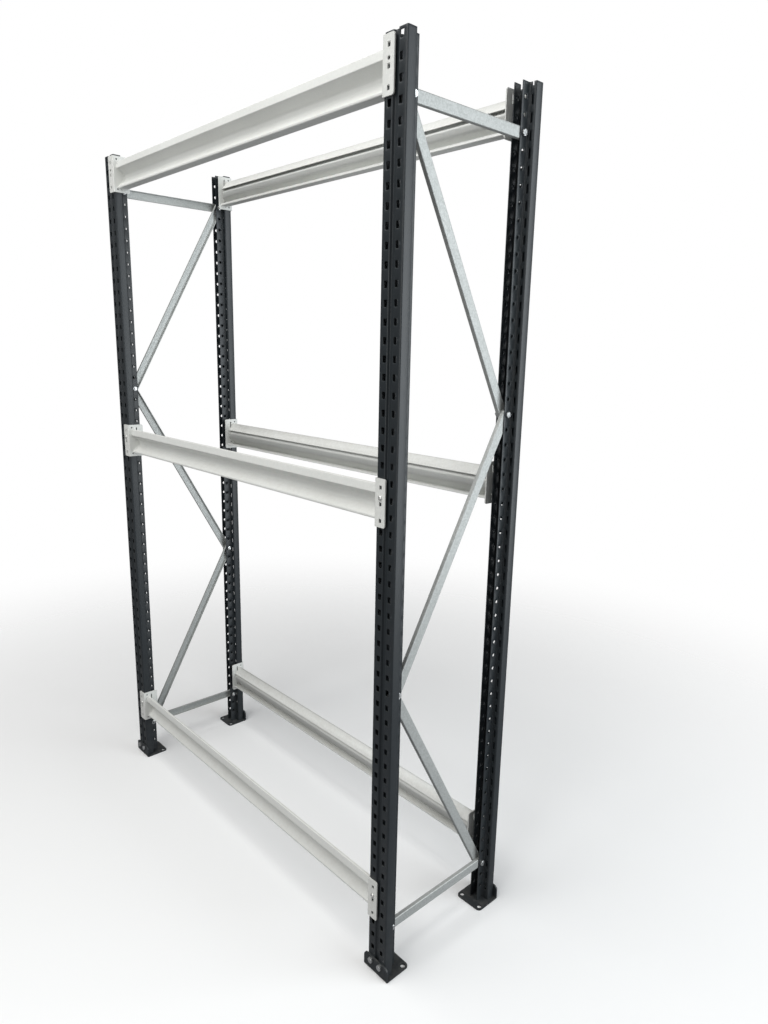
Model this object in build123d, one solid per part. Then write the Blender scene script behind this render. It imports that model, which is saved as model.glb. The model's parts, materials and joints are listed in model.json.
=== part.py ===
from build123d import *
import os

# Boltless tyre rack: two bolted side frames joined by three pairs of hook-in beams.
# Millimetres.  +X runs along the beams to the right, +Y from front to rear, +Z up.
# The origin is on the floor, in the middle of the four feet.

# Driving dimensions
rack_height = 2000.0
frame_half_depth = 200.0        # floor axis to the outer web of an upright
upright_centre_x = 630.0
slot_pitch = 35.0
top_slot_z = 1988.0
slot_count = 57
level_slots = {"top": 2, "middle": 25, "bottom": 52}    # slot that holds each connector's middle hook
locked_levels = ("middle", "bottom")
brace_nodes_z = (1900.5, 1305.5, 710.5, 115.5)

# Upright: roll-formed section, open side towards the inside of the side frame
upright_half_width = 30.0
upright_box_depth = 24.0
upright_depth = 46.0
upright_sheet = 2.0
leg_half_gap = 12.0
groove_half_width = 7.0
groove_floor_half_width = 4.5
groove_depth = 5.0
upright_bend = 3.0
groove_bend = 1.5

# Perforation of the upright
slot_column_u = 15.0
slot_height = 14.0
slot_top_width = 10.5
slot_bottom_width = 8.6
slot_corner = 1.8
shoulder_slot_u = 21.0
shoulder_slot_width = 4.5
shoulder_slot_height = 20.0
shoulder_slot_drop = 5.0
leg_hole_v = 35.0
leg_hole_diameter = 8.4
first_leg_hole_z = top_slot_z - slot_pitch / 2

# Foot plate
foot_sheet = 4.0
foot_half_width = 40.0
foot_rear_v = 70.0
foot_flange_height = 38.0
foot_corner = 11.0
foot_bend = 4.1
anchor_hole_diameter = 12.0
anchor_hole_u = 30.0
anchor_hole_v = 58.0
foot_bolt_hole_diameter = 8.4
foot_bolt_z = top_slot_z - slot_pitch * (slot_count - 1)

# Braces: two layers of channel between the legs of the uprights
brace_width = 25.0
brace_depth = 9.5
brace_sheet = 1.5
brace_bend = 2.5
brace_hole_diameter = 8.4
brace_layer_gap = 0.4           # between the two layers

# Fasteners
bolt_diameter = 8.0
hex_across_flats = 13.0
hex_corner_turning = 0.57       # radius that the hexagon's points are turned to, per across flats
hex_chamfer = 1.0
bolt_head_height = 5.3
nut_height = 6.5
foot_bolt_length = 16.0
thread_stub = 4.0               # thread that shows past a brace nut
sleeve_diameter = 16.0

# Connector: angle plate with three hooks, welded to each beam end
connector_sheet = 3.0
connector_height = 102.0
connector_drop = 8.0            # its middle lies this far below the middle slot
connector_front_edge_u = -1.0
connector_corner = 5.0
connector_bend = 3.5
fit_gap = 0.1                   # between connector and upright faces
window_width = 7.0
window_height = 9.0
window_drop = 10.0              # window centre below its slot centre
hook_width = 6.0
hook_thick = 3.0
hook_tip_drop = 12.5            # hook tip below the slot centre
hook_bend = 2.0
hook_slot_clearance = 0.1       # over the slot's lower edge
hook_web_clearance = 0.2        # behind the web
lock_hole_diameter = 7.2
lock_hole_rise = 3.0            # above the middle slot's centre
gauge_holes = ((12.0, 42.0), (12.0, -42.0), (28.0, -29.0), (25.0, -41.0))   # depth, rise from the middle
gauge_hole_diameter = 5.0
gauge_slot_depth = 28.0
gauge_slot_rise = 32.0
gauge_slot_length = 20.0
gauge_slot_width = 4.0

# Lock pin
pin_diameter = 7.0
pin_head_diameter = 11.0
pin_head_height = 3.6
pin_head_rim = 0.8
pin_tip_chamfer = 1.2
pin_reach = 6.5                 # shank behind the upright's outer face
pin_dimple_diameter = 3.0
pin_dimple_depth = 1.0

# Beam: open roll-formed section with a narrow ridge that the tyres rest on
beam_sheet = 1.5
beam_drop = 15.0                # ridge below the connector's top edge
beam_outline = [(37, 23), (20, 0), (14, 0), (11, 19), (35, 34),      # depth behind the connector's front,
                (35, 50), (14, 70), (14, 76), (42, 76), (42, 69)]    # drop below the ridge
beam_bends = [2.5, 2.5, 2.5, 7, 12, 4, 2.5, 2.5]

front_y = -frame_half_depth
beam_half_length = upright_centre_x - upright_half_width - fit_gap - connector_sheet
connector_front_y = front_y - fit_gap - connector_sheet


def slot_z(number):
    """Height of a numbered slot, counted from the top."""
    return top_slot_z - slot_pitch * (number - 1)


def leg_hole_heights():
    return [first_leg_hole_z - slot_pitch * n for n in range(slot_count - 1)]


def upright_point(u, v, z):
    """A point of the front right upright: u along X from its middle, v inwards from its web."""
    return Vector(upright_centre_x + u, front_y + v, z)


def sheet_section(points, bends, thickness, side=Side.LEFT):
    """Closed section of a bent sheet whose outer line runs through the points."""
    line = FilletPolyline(*points, radius=bends)
    return make_face(offset(line, amount=thickness, side=side).edges())


def rod(start, direction, diameter, length):
    """A cylinder from a start point along a direction."""
    plane = Plane(origin=start, z_dir=direction)
    return extrude(plane * Circle(diameter / 2), amount=length)


def hex_prism(start, direction, across_flats, length):
    """A hexagonal head or nut, points up and down, with its outer corners turned off."""
    plane = Plane(origin=start, x_dir=(0, 0, 1), z_dir=direction)
    body = extrude(plane * RegularPolygon(across_flats / 2, 6, major_radius=False), amount=length)
    turned = extrude(plane * Circle(across_flats * hex_corner_turning), amount=length)
    rim = turned.edges().filter_by(GeomType.CIRCLE).sort_by(Axis(start, direction))[-1]
    return body & chamfer(rim, hex_chamfer)


# How a front right piece is put on each corner of the rack
corners = {
    "front_right": lambda shape: shape,
    "front_left": lambda shape: mirror(shape, about=Plane.YZ),
    "back_right": lambda shape: mirror(shape, about=Plane.XZ),
    "back_left": lambda shape: Rot(0, 0, 180) * shape,
}


# Uprights

def upright_section():
    w, g, f = upright_half_width, groove_half_width, groove_floor_half_width
    half = [(-leg_half_gap, upright_depth), (-leg_half_gap, upright_box_depth), (-w, upright_box_depth),
            (-w, 0), (-g, 0), (-f, groove_depth)]
    other = [(-u, v) for u, v in reversed(half)]
    bends = [upright_bend] * 3 + [groove_bend] * 4 + [upright_bend] * 3
    return sheet_section(half + other, bends, upright_sheet)


def beam_slot_tool(u, z):
    top, bottom, h = slot_top_width / 2, slot_bottom_width / 2, slot_height / 2
    outline = Polyline((-bottom, -h), (bottom, -h), (top, h), (-top, h), close=True)
    face = make_face(outline.edges())
    face = fillet(face.vertices(), slot_corner)
    plane = Plane(origin=(u, upright_sheet + 1, z), x_dir=(1, 0, 0), z_dir=(0, -1, 0))
    return extrude(plane * face, amount=upright_sheet + 2)


def upright():
    """One upright about its own axis: web at v = 0, standing on the foot plate."""
    body = extrude(upright_section(), amount=rack_height - foot_sheet)
    body = Pos(0, 0, foot_sheet) * body
    tools = []
    for number in range(1, slot_count + 1):
        for side in (-1, 1):
            tools.append(beam_slot_tool(side * slot_column_u, slot_z(number)))
    for z in [first_leg_hole_z + slot_pitch] + leg_hole_heights():
        for side in (-1, 1):
            centre = (side * shoulder_slot_u, upright_box_depth - upright_sheet / 2, z - shoulder_slot_drop)
            tools.append(Pos(*centre) * Box(shoulder_slot_width, 2 * upright_sheet, shoulder_slot_height))
    for z in leg_hole_heights():
        start = (-upright_half_width, leg_hole_v, z)
        tools.append(rod(start, (1, 0, 0), leg_hole_diameter, 2 * upright_half_width))
    body -= tools
    return Pos(upright_centre_x, front_y, 0) * body


# Foot plates

def foot_plate():
    """Angle bracket under the front right upright, its flange against the web."""
    w, t = foot_half_width, foot_sheet
    profile = sheet_section([(foot_rear_v, 0), (-t, 0), (-t, foot_flange_height)], [foot_bend], t, Side.RIGHT)
    plane = Plane(origin=(upright_centre_x - w, front_y, 0), x_dir=(0, 1, 0), z_dir=(1, 0, 0))
    body = extrude(plane * profile, amount=2 * w)
    body &= foot_plan_block()
    flange_block = Pos(upright_centre_x, front_y - t / 2, foot_flange_height / 2)
    flange_block = flange_block * Box(2 * w, 2 * t + 1, foot_flange_height)
    flange_top = flange_block.edges().filter_by(Axis.Y).group_by(Axis.Z)[-1]
    rear_block = Pos(upright_centre_x, front_y + foot_rear_v / 2, foot_sheet / 2)
    rear_block = rear_block * Box(2 * w, foot_rear_v, foot_sheet + 1)
    body &= fillet(flange_top, foot_corner) + rear_block
    holes = []
    for side in (-1, 1):
        holes.append(rod(upright_point(side * anchor_hole_u, anchor_hole_v, -1), (0, 0, 1),
                         anchor_hole_diameter, foot_sheet + 2))
        holes.append(rod(upright_point(side * slot_column_u, -t - 1, foot_bolt_z), (0, 1, 0),
                         foot_bolt_hole_diameter, t + 2))
    return body - holes


def foot_plan_block():
    """Block over the foot's footprint with its two rear corners rounded."""
    depth = foot_rear_v + foot_sheet
    block = Box(2 * foot_half_width, depth, foot_flange_height, align=(Align.CENTER, Align.MIN, Align.MIN))
    block = Pos(upright_centre_x, front_y - foot_sheet, 0) * block
    rear_edges = block.edges().filter_by(Axis.Z).group_by(Axis.Y)[-1]
    return fillet(rear_edges, foot_corner)


def foot_bolt(side):
    seat = upright_point(side * slot_column_u, -foot_sheet, foot_bolt_z)
    head = hex_prism(seat, (0, -1, 0), hex_across_flats, bolt_head_height)
    return head + rod(seat, (0, 1, 0), bolt_diameter, foot_bolt_length)


def foot_nut(side):
    seat = upright_point(side * slot_column_u, upright_sheet, foot_bolt_z)
    nut = hex_prism(seat, (0, 1, 0), hex_across_flats, nut_height)
    return nut - rod(seat - Vector(0, 1, 0), (0, 1, 0), bolt_diameter, nut_height + 2)


# Braces

def brace(start_y, start_z, end_y, end_z, layer):
    """Channel between two bolt places of the right frame; layer 1 is the outer, -1 the inner one."""
    start = Vector(0, start_y, start_z)
    end = Vector(0, end_y, end_z)
    span = (end - start).length
    w, d = brace_width / 2, brace_depth
    section = sheet_section([(w, -d), (w, 0), (-w, 0), (-w, -d)], [brace_bend] * 2, brace_sheet)
    reach = span + brace_width
    end_plane = Plane(origin=(-reach / 2, 0, 0), x_dir=(0, 1, 0), z_dir=(1, 0, 0))
    channel = extrude(end_plane * section, amount=reach)
    pill = extrude(Pos(0, 0, -d) * SlotCenterToCenter(span, brace_width), amount=d)
    holes = [Pos(side * span / 2, 0, -d) * Cylinder(brace_hole_diameter / 2, 3 * d) for side in (-1, 1)]
    body = (channel & pill) - holes
    web_x = upright_centre_x + (brace_layer_gap / 2 + brace_depth if layer > 0 else -brace_layer_gap / 2)
    middle = (start + end) * 0.5
    plane = Plane(origin=(web_x, middle.Y, middle.Z), x_dir=(end - start).normalized(), z_dir=(1, 0, 0))
    return plane * body


def brace_bolt_centres():
    """Bolt places of the right frame: (y, z, whether only the outer brace is there)."""
    near = front_y + leg_hole_v
    far = -near
    top, upper, lower, bottom = brace_nodes_z
    return [(near, top, False), (far, top, True), (far, upper, False),
            (near, lower, False), (far, bottom, False), (near, bottom, True)]


def right_frame_braces():
    near = front_y + leg_hole_v
    far = -near
    top, upper, lower, bottom = brace_nodes_z
    return {
        "top_horizontal": brace(near, top, far, top, 1),
        "upper_diagonal": brace(near, top, far, upper, -1),
        "middle_diagonal": brace(far, upper, near, lower, 1),
        "lower_diagonal": brace(near, lower, far, bottom, -1),
        "bottom_horizontal": brace(near, bottom, far, bottom, 1),
    }


def brace_bolts():
    bolts = []
    grip = 2 * leg_half_gap
    for y, z, _ in brace_bolt_centres():
        seat = Vector(upright_centre_x + leg_half_gap, y, z)
        head = hex_prism(seat, (1, 0, 0), hex_across_flats, bolt_head_height)
        bolts.append(head + rod(seat, (-1, 0, 0), bolt_diameter, grip + nut_height + thread_stub))
    return bolts


def brace_nuts():
    nuts = []
    for y, z, _ in brace_bolt_centres():
        seat = Vector(upright_centre_x - leg_half_gap, y, z)
        nut = hex_prism(seat, (-1, 0, 0), hex_across_flats, nut_height)
        nuts.append(nut - rod(seat + Vector(1, 0, 0), (-1, 0, 0), bolt_diameter, nut_height + 2))
    return nuts


def spacer_sleeves():
    sleeves = []
    for y, z, lone in brace_bolt_centres():
        if lone:
            start = Vector(upright_centre_x - leg_half_gap + upright_sheet, y, z)
            length = leg_half_gap - upright_sheet
            sleeve = rod(start, (1, 0, 0), sleeve_diameter, length)
            sleeves.append(sleeve - rod(start, (1, 0, 0), brace_hole_diameter, length))
    return sleeves


# Beams, connectors and lock pins

def beam(level):
    """Front beam of a level."""
    section = sheet_section([(depth, -drop) for depth, drop in beam_outline], beam_bends, beam_sheet)
    ridge_z = connector_centre_z(level) + connector_height / 2 - beam_drop
    plane = Plane(origin=(-beam_half_length, connector_front_y, ridge_z), x_dir=(0, 1, 0), z_dir=(1, 0, 0))
    return extrude(plane * section, amount=2 * beam_half_length)


def connector_centre_z(level):
    return slot_z(level_slots[level]) - connector_drop


def connector_plate(centre_z):
    """Angle plate: one leg on the upright's web, the other on its inner side."""
    x_outer = upright_centre_x + connector_front_edge_u
    legs = [(x_outer, connector_front_y), (beam_half_length, connector_front_y),
            (beam_half_length, front_y + upright_depth)]
    section = sheet_section(legs, [connector_bend], connector_sheet, Side.RIGHT)
    plate = extrude(Pos(0, 0, centre_z - connector_height / 2) * section, amount=connector_height)
    front_corners = plate.edges().filter_by(Axis.Y).group_by(Axis.X)[-1]
    plate = fillet(front_corners, connector_corner)
    rear_corners = plate.edges().filter_by(Axis.X).group_by(Axis.Y)[-1]
    return fillet(rear_corners, connector_corner)


def connector_hook(number):
    """Tongue bent back from the top of its window, through the slot and down behind the web."""
    root_z = slot_z(number) - slot_height / 2 + hook_slot_clearance
    tip_z = slot_z(number) - hook_tip_drop
    root = -fit_gap - connector_sheet / 2
    back = upright_sheet + hook_web_clearance
    outline = [(root, root_z), (back, root_z), (back, tip_z), (back + hook_thick, tip_z),
               (back + hook_thick, root_z + hook_thick), (root, root_z + hook_thick)]
    face = make_face(Polyline(*outline, close=True).edges())
    x_start = upright_centre_x - slot_column_u - hook_width / 2
    plane = Plane(origin=(x_start, front_y, 0), x_dir=(0, 1, 0), z_dir=(1, 0, 0))
    hook = extrude(plane * face, amount=hook_width)
    bend = hook.edges().filter_by(Axis.X).sort_by(lambda edge: edge.center().Y + edge.center().Z)[-1]
    return fillet(bend, hook_bend)


def connector(level):
    """Front right connector of a level."""
    middle = level_slots[level]
    centre_z = connector_centre_z(level)
    plate = connector_plate(centre_z)
    hook_x = upright_centre_x - slot_column_u
    tools = []
    for number in (middle - 1, middle, middle + 1):
        window = Box(window_width, 4 * connector_sheet, window_height)
        tools.append(Pos(hook_x, connector_front_y, slot_z(number) - window_drop) * window)
    lock_z = slot_z(middle) + lock_hole_rise
    lock_start = (hook_x, connector_front_y - 1, lock_z)
    tools.append(rod(lock_start, (0, 1, 0), lock_hole_diameter, connector_sheet + 2))
    for depth, rise in gauge_holes:
        tools.append(side_hole(depth, centre_z + rise, gauge_hole_diameter))
    tools.append(Pos(beam_half_length, connector_front_y + gauge_slot_depth, centre_z + gauge_slot_rise)
                 * Box(4 * connector_sheet, gauge_slot_width, gauge_slot_length))
    plate -= tools
    hooks = [connector_hook(number) for number in (middle - 1, middle, middle + 1)]
    return plate + hooks


def side_hole(depth, z, diameter):
    """Cutter through the side leg, a given depth behind the connector's front."""
    return rod((beam_half_length - 1, connector_front_y + depth, z), (1, 0, 0), diameter, connector_sheet + 2)


def lock_pin(level):
    """Front right lock pin: domed head on the connector, shank through connector and slot."""
    z = slot_z(level_slots[level]) + lock_hole_rise
    seat = Vector(upright_centre_x - slot_column_u, connector_front_y, z)
    shank_length = pin_reach + fit_gap + connector_sheet
    shank = rod(seat, (0, 1, 0), pin_diameter, shank_length)
    tip = shank.edges().filter_by(GeomType.CIRCLE).sort_by(Axis.Y)[-1]
    shank = chamfer(tip, pin_tip_chamfer)
    head = rod(seat, (0, -1, 0), pin_head_diameter, pin_head_height)
    rim = head.edges().filter_by(GeomType.CIRCLE).sort_by(Axis.Y)[0]
    head = fillet(rim, pin_head_height - pin_head_rim)
    dimple_start = seat + Vector(0, -pin_head_height - 1, 0)
    return shank + head - rod(dimple_start, (0, 1, 0), pin_dimple_diameter, pin_dimple_depth + 1)


def save(shape, node):
    solids = shape.solids()
    export_step(solids[0] if len(solids) == 1 else Compound(children=list(solids)), f"parts/{node}.step")


def main():
    os.makedirs("parts", exist_ok=True)
    front_right_upright = upright()
    front_right_foot = foot_plate()
    bolts, nuts = [], []
    for name, put in corners.items():
        save(put(front_right_upright), f"upright_{name}")
        save(put(front_right_foot), f"foot_plate_{name}")
        bolts += [put(foot_bolt(side)) for side in (-1, 1)]
        nuts += [put(foot_nut(side)) for side in (-1, 1)]
    save(Compound(children=bolts), "foot_bolts")
    save(Compound(children=nuts), "foot_nuts")

    for side in ("right", "left"):
        turn = Rot(0, 0, 0 if side == "right" else 180)
        for place, shape in right_frame_braces().items():
            save(turn * shape, f"brace_{side}_{place}")
        for node, pieces in (("bolts", brace_bolts()), ("nuts", brace_nuts()), ("sleeves", spacer_sleeves())):
            save(Compound(children=[turn * piece for piece in pieces]), f"brace_{node}_{side}")

    for level in level_slots:
        front_beam = beam(level)
        save(front_beam, f"beam_{level}_front")
        save(mirror(front_beam, about=Plane.XZ), f"beam_{level}_back")
        front_right_connector = connector(level)
        for name, put in corners.items():
            save(put(front_right_connector), f"connector_{level}_{name}")
            if level in locked_levels:
                save(put(lock_pin(level)), f"lock_pin_{level}_{name}")


main()
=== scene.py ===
import bpy
import bmesh
import json
import math
from mathutils import Matrix, Vector

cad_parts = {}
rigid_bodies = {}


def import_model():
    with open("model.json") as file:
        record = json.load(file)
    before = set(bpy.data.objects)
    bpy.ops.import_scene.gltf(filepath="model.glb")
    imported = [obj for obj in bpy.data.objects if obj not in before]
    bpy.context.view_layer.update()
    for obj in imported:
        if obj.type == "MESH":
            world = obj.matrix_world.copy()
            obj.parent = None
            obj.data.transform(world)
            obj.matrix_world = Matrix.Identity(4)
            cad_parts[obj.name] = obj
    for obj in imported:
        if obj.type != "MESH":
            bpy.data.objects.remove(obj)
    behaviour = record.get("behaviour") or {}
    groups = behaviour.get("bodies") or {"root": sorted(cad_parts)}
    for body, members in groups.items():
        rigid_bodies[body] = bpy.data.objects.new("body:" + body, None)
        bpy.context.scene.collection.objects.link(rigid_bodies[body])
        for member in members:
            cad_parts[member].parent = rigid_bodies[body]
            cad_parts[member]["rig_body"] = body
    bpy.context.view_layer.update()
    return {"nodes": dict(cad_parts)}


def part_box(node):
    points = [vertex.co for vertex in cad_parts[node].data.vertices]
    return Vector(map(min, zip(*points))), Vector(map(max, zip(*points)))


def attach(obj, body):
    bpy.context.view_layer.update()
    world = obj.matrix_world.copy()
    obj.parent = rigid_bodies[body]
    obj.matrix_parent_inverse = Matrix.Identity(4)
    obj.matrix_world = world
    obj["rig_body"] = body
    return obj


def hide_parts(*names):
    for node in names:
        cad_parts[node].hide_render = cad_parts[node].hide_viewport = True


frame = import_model()
print("frame loaded")

cornerNames = [("front", "right"), ("front", "left"), ("back", "right"), ("back", "left")]
levelNames = ["top", "middle", "bottom"]
rackBody = "rack_frame"

# places that everything else is measured from, read off the frame
uprightLow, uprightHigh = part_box("upright_front_right")
uprightMiddleX = (uprightLow.x + uprightHigh.x) / 2
webY = uprightLow.y         # outer face of the front uprights
topSlotDrop = 0.012         # first slot centre below the upright's top
slotPitch = 0.035

# how near counts as the same
samePoint = 1e-6
samePlane = 1e-4
sameBolt = 0.005


def link(mesh, name):
    piece = bpy.data.objects.new(name, mesh)
    bpy.context.scene.collection.objects.link(piece)
    return piece


def bake(host, name):
    # the evaluated result as a plain mesh in a new object; the host goes
    graph = bpy.context.evaluated_depsgraph_get()
    mesh = bpy.data.meshes.new_from_object(host.evaluated_get(graph))
    mesh.name = name
    bpy.data.objects.remove(host)
    return link(mesh, name)


def smooth(mesh, degrees):
    for face in mesh.polygons:
        face.use_smooth = True
    mesh.set_sharp_from_angle(angle=math.radians(degrees))


def softenEdges(piece, width, segments=2, degrees=50):
    # rounded edges with flat faces kept flat
    rounding = piece.modifiers.new("round", "BEVEL")
    rounding.width = width
    rounding.segments = segments
    rounding.limit_method = "ANGLE"
    rounding.angle_limit = math.radians(degrees)
    rounding.harden_normals = False
    even = piece.modifiers.new("even", "WEIGHTED_NORMAL")
    even.keep_sharp = True


def thicken(piece, thickness):
    wall = piece.modifiers.new("wall", "SOLIDIFY")
    wall.thickness = thickness
    wall.offset = -1        # the wall grows inwards
    wall.use_even_offset = True
    wall.use_rim = True


def paint(piece, material):
    piece.data.materials.clear()
    piece.data.materials.append(material)


def place(piece, body, slotName, *nodes):
    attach(piece, body)
    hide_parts(*nodes)


def mirrored(mesh, name, flipX, flipY):
    # a copy on another corner of the rack, its faces turned outwards again
    copy = mesh.copy()
    copy.name = name
    copy.transform(Matrix.Diagonal((-1 if flipX else 1, -1 if flipY else 1, 1, 1)))
    if flipX != flipY:
        copy.flip_normals()
    return copy


def pieceName(node):
    words = node.split("_")
    return words[0] + "".join(word.title() for word in words[1:])


# node trees: values go in by socket name or number, sockets are linked

def addNode(tree, kind, inputs=None, **settings):
    node = tree.nodes.new(kind)
    for key, value in settings.items():
        setattr(node, key, value)
    for key, value in (inputs or {}).items():
        socket = node.inputs[key]
        if isinstance(value, bpy.types.NodeSocket):
            tree.links.new(value, socket)
        else:
            socket.default_value = value
    return node


def mathNode(tree, operation, *values, clamp=False):
    inputs = dict(enumerate(values))
    return addNode(tree, "ShaderNodeMath", inputs, operation=operation, use_clamp=clamp).outputs[0]


def nodeTree(name, inputs):
    # inputs are name, kind of socket and usual value
    tree = bpy.data.node_groups.new(name, "GeometryNodeTree")
    tree.interface.new_socket("Geometry", in_out="INPUT", socket_type="NodeSocketGeometry")
    for label, kind, value in inputs:
        socket = tree.interface.new_socket(label, in_out="INPUT", socket_type=f"NodeSocket{kind}")
        if value is not None:
            socket.default_value = value
    tree.interface.new_socket("Geometry", in_out="OUTPUT", socket_type="NodeSocketGeometry")
    given = tree.nodes.new("NodeGroupInput").outputs
    return tree, given


def finishTree(tree, geometry, material):
    # every tree ends in real geometry with its material
    real = addNode(tree, "GeometryNodeRealizeInstances", {"Geometry": geometry})
    coated = addNode(tree, "GeometryNodeSetMaterial", {"Geometry": real.outputs[0], "Material": material})
    addNode(tree, "NodeGroupOutput", {0: coated.outputs[0]})
    return tree


def runTree(tree, host, values):
    modifier = host.modifiers.new(tree.name, "NODES")
    modifier.node_group = tree
    for item in tree.interface.items_tree:
        if item.in_out == "INPUT" and item.name in values:
            modifier[item.identifier] = values[item.name]
    return host


def emptyHost(name):
    return link(bpy.data.meshes.new(name), name)


# effects that several finishes share

def shaderGroup(name, inputs, outputs):
    # whatever goes in or out is a plain number
    tree = bpy.data.node_groups.new(name, "ShaderNodeTree")
    for label, value in inputs.items():
        socket = tree.interface.new_socket(label, in_out="INPUT", socket_type="NodeSocketFloat")
        socket.default_value = value
    for label in outputs:
        tree.interface.new_socket(label, in_out="OUTPUT", socket_type="NodeSocketFloat")
    return tree, tree.nodes.new("NodeGroupInput").outputs


def objectPlace(tree):
    return tree.nodes.new("ShaderNodeTexCoord").outputs["Object"]


def noiseNode(tree, vector, scale, detail, roughness):
    inputs = {"Vector": vector, "Scale": scale, "Detail": detail, "Roughness": roughness}
    return addNode(tree, "ShaderNodeTexNoise", inputs).outputs["Fac"]


def rampNode(tree, value, low, high):
    inputs = {"Value": value, "From Min": low, "From Max": high}
    return addNode(tree, "ShaderNodeMapRange", inputs, interpolation_type="SMOOTHSTEP").outputs[0]


def colourMix(tree, mask, first, second):
    # 6 and 7 are a Mix node's two colours, and 2 is the colour that it gives
    colours = [c if isinstance(c, bpy.types.NodeSocket) else (*c, 1.0) for c in (first, second)]
    node = addNode(tree, "ShaderNodeMix", {0: mask, 6: colours[0], 7: colours[1]}, data_type="RGBA")
    return node.outputs[2]


def makePowderGroup():
    # fine orange peel of a powder coat, and slow changes of gloss with specks over it
    tree, given = shaderGroup("powderPeel", {"Peel Scale": 700.0, "Patch Scale": 9.0, "Speck": 0.4},
                              ["Height", "Patch"])
    where = objectPlace(tree)
    peel = noiseNode(tree, where, given["Peel Scale"], detail=2.0, roughness=0.45)
    patch = noiseNode(tree, where, given["Patch Scale"], detail=4.0, roughness=0.6)
    speck = noiseNode(tree, where, scale=520.0, detail=2.0, roughness=0.6)
    speck = mathNode(tree, "SUBTRACT", speck, 0.5)      # as many darker as lighter
    patch = mathNode(tree, "MULTIPLY_ADD", speck, given["Speck"], patch, clamp=True)
    addNode(tree, "NodeGroupOutput", {"Height": peel, "Patch": patch})
    return tree


def makeDustGroup():
    # dust that settles on what faces up, thicker towards the floor
    tree, given = shaderGroup("settledDust", {"Amount": 0.5, "Floor Reach": 0.5}, ["Mask"])
    where = objectPlace(tree)
    normal = tree.nodes.new("ShaderNodeNewGeometry").outputs["Normal"]
    up = addNode(tree, "ShaderNodeSeparateXYZ", {"Vector": normal}).outputs["Z"]
    height = addNode(tree, "ShaderNodeSeparateXYZ", {"Vector": where}).outputs["Z"]
    facing = rampNode(tree, up, low=0.35, high=1.0)
    patches = noiseNode(tree, where, scale=55.0, detail=5.0, roughness=0.65)
    patches = rampNode(tree, patches, low=0.38, high=0.72)
    low = mathNode(tree, "DIVIDE", height, given["Floor Reach"])
    low = mathNode(tree, "SUBTRACT", 1.0, low, clamp=True)
    low = mathNode(tree, "MULTIPLY", low, 0.35)         # upright faces near the floor take less
    base = mathNode(tree, "MAXIMUM", facing, low)
    mask = mathNode(tree, "MULTIPLY", base, mathNode(tree, "MULTIPLY_ADD", patches, 0.7, 0.3))
    mask = mathNode(tree, "MULTIPLY", mask, given["Amount"], clamp=True)
    addNode(tree, "NodeGroupOutput", {"Mask": mask})
    return tree


def makeWearGroup():
    # rubbed edges and short scuffs
    tree, given = shaderGroup("handlingWear", {"Edge": 0.6, "Scuff": 0.4}, ["Edge Mask", "Scuff Mask"])
    where = objectPlace(tree)
    point = tree.nodes.new("ShaderNodeNewGeometry").outputs["Pointiness"]
    edge = rampNode(tree, point, low=0.53, high=0.62)
    broken = noiseNode(tree, where, scale=140.0, detail=4.0, roughness=0.6)
    broken = rampNode(tree, broken, low=0.45, high=0.62)
    edge = mathNode(tree, "MULTIPLY", mathNode(tree, "MULTIPLY", edge, broken), given["Edge"])
    flattened = addNode(tree, "ShaderNodeMapping", {"Vector": where, "Scale": (14.0, 14.0, 160.0)})
    streaks = noiseNode(tree, flattened.outputs[0], scale=9.0, detail=3.0, roughness=0.7)
    scuff = mathNode(tree, "MULTIPLY", rampNode(tree, streaks, low=0.64, high=0.74), given["Scuff"])
    addNode(tree, "NodeGroupOutput", {"Edge Mask": edge, "Scuff Mask": scuff})
    return tree


def makeSpangleGroup():
    # frosty crystals of a zinc coat, their outlines bent a little, with fine speckle between them
    tree, given = shaderGroup("zincSpangle", {"Crystal Scale": 160.0, "Speckle Scale": 900.0},
                              ["Tone", "Gloss", "Height"])
    where = objectPlace(tree)
    wobble = addNode(tree, "ShaderNodeTexNoise", {"Vector": where, "Scale": 60.0, "Detail": 2.0})
    shift = addNode(tree, "ShaderNodeVectorMath", {0: wobble.outputs["Color"], "Scale": 0.006},
                    operation="SCALE")
    bent = addNode(tree, "ShaderNodeVectorMath", {0: where, 1: shift.outputs[0]}, operation="ADD")
    crystals = addNode(tree, "ShaderNodeTexVoronoi", {
        "Vector": bent.outputs[0], "Scale": given["Crystal Scale"]})
    shade = addNode(tree, "ShaderNodeSeparateColor", {"Color": crystals.outputs["Color"]})
    speckle = noiseNode(tree, where, given["Speckle Scale"], detail=1.0, roughness=0.5)
    tone = mathNode(tree, "MULTIPLY_ADD", shade.outputs[0], 0.65, mathNode(tree, "MULTIPLY", speckle, 0.35))
    addNode(tree, "NodeGroupOutput", {"Tone": tone, "Gloss": shade.outputs[1], "Height": speckle})
    return tree


powderGroup = makePowderGroup()
dustGroup = makeDustGroup()
wearGroup = makeWearGroup()
spangleGroup = makeSpangleGroup()


# finishes of the rack's own parts

def newMaterial(name):
    material = bpy.data.materials.new(name)
    material.use_nodes = True
    tree = material.node_tree
    shader = next(n for n in tree.nodes if n.type == "BSDF_PRINCIPLED")
    return material, tree, shader


def useGroup(tree, group, values):
    return addNode(tree, "ShaderNodeGroup", values, node_tree=group).outputs


def wornAndDusty(tree, colour, look):
    # scuffs, rubbed edges and dust over a coat's own colour
    dust = useGroup(tree, dustGroup, {"Amount": look["dust"], "Floor Reach": look["floorReach"]})
    wear = useGroup(tree, wearGroup, {"Edge": look["edgeWear"], "Scuff": look["scuffs"]})
    colour = colourMix(tree, wear["Scuff Mask"], colour, look["scuffColour"])
    colour = colourMix(tree, wear["Edge Mask"], colour, look["edgeColour"])
    colour = colourMix(tree, dust["Mask"], colour, look["dustColour"])
    return colour, dust["Mask"]


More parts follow.
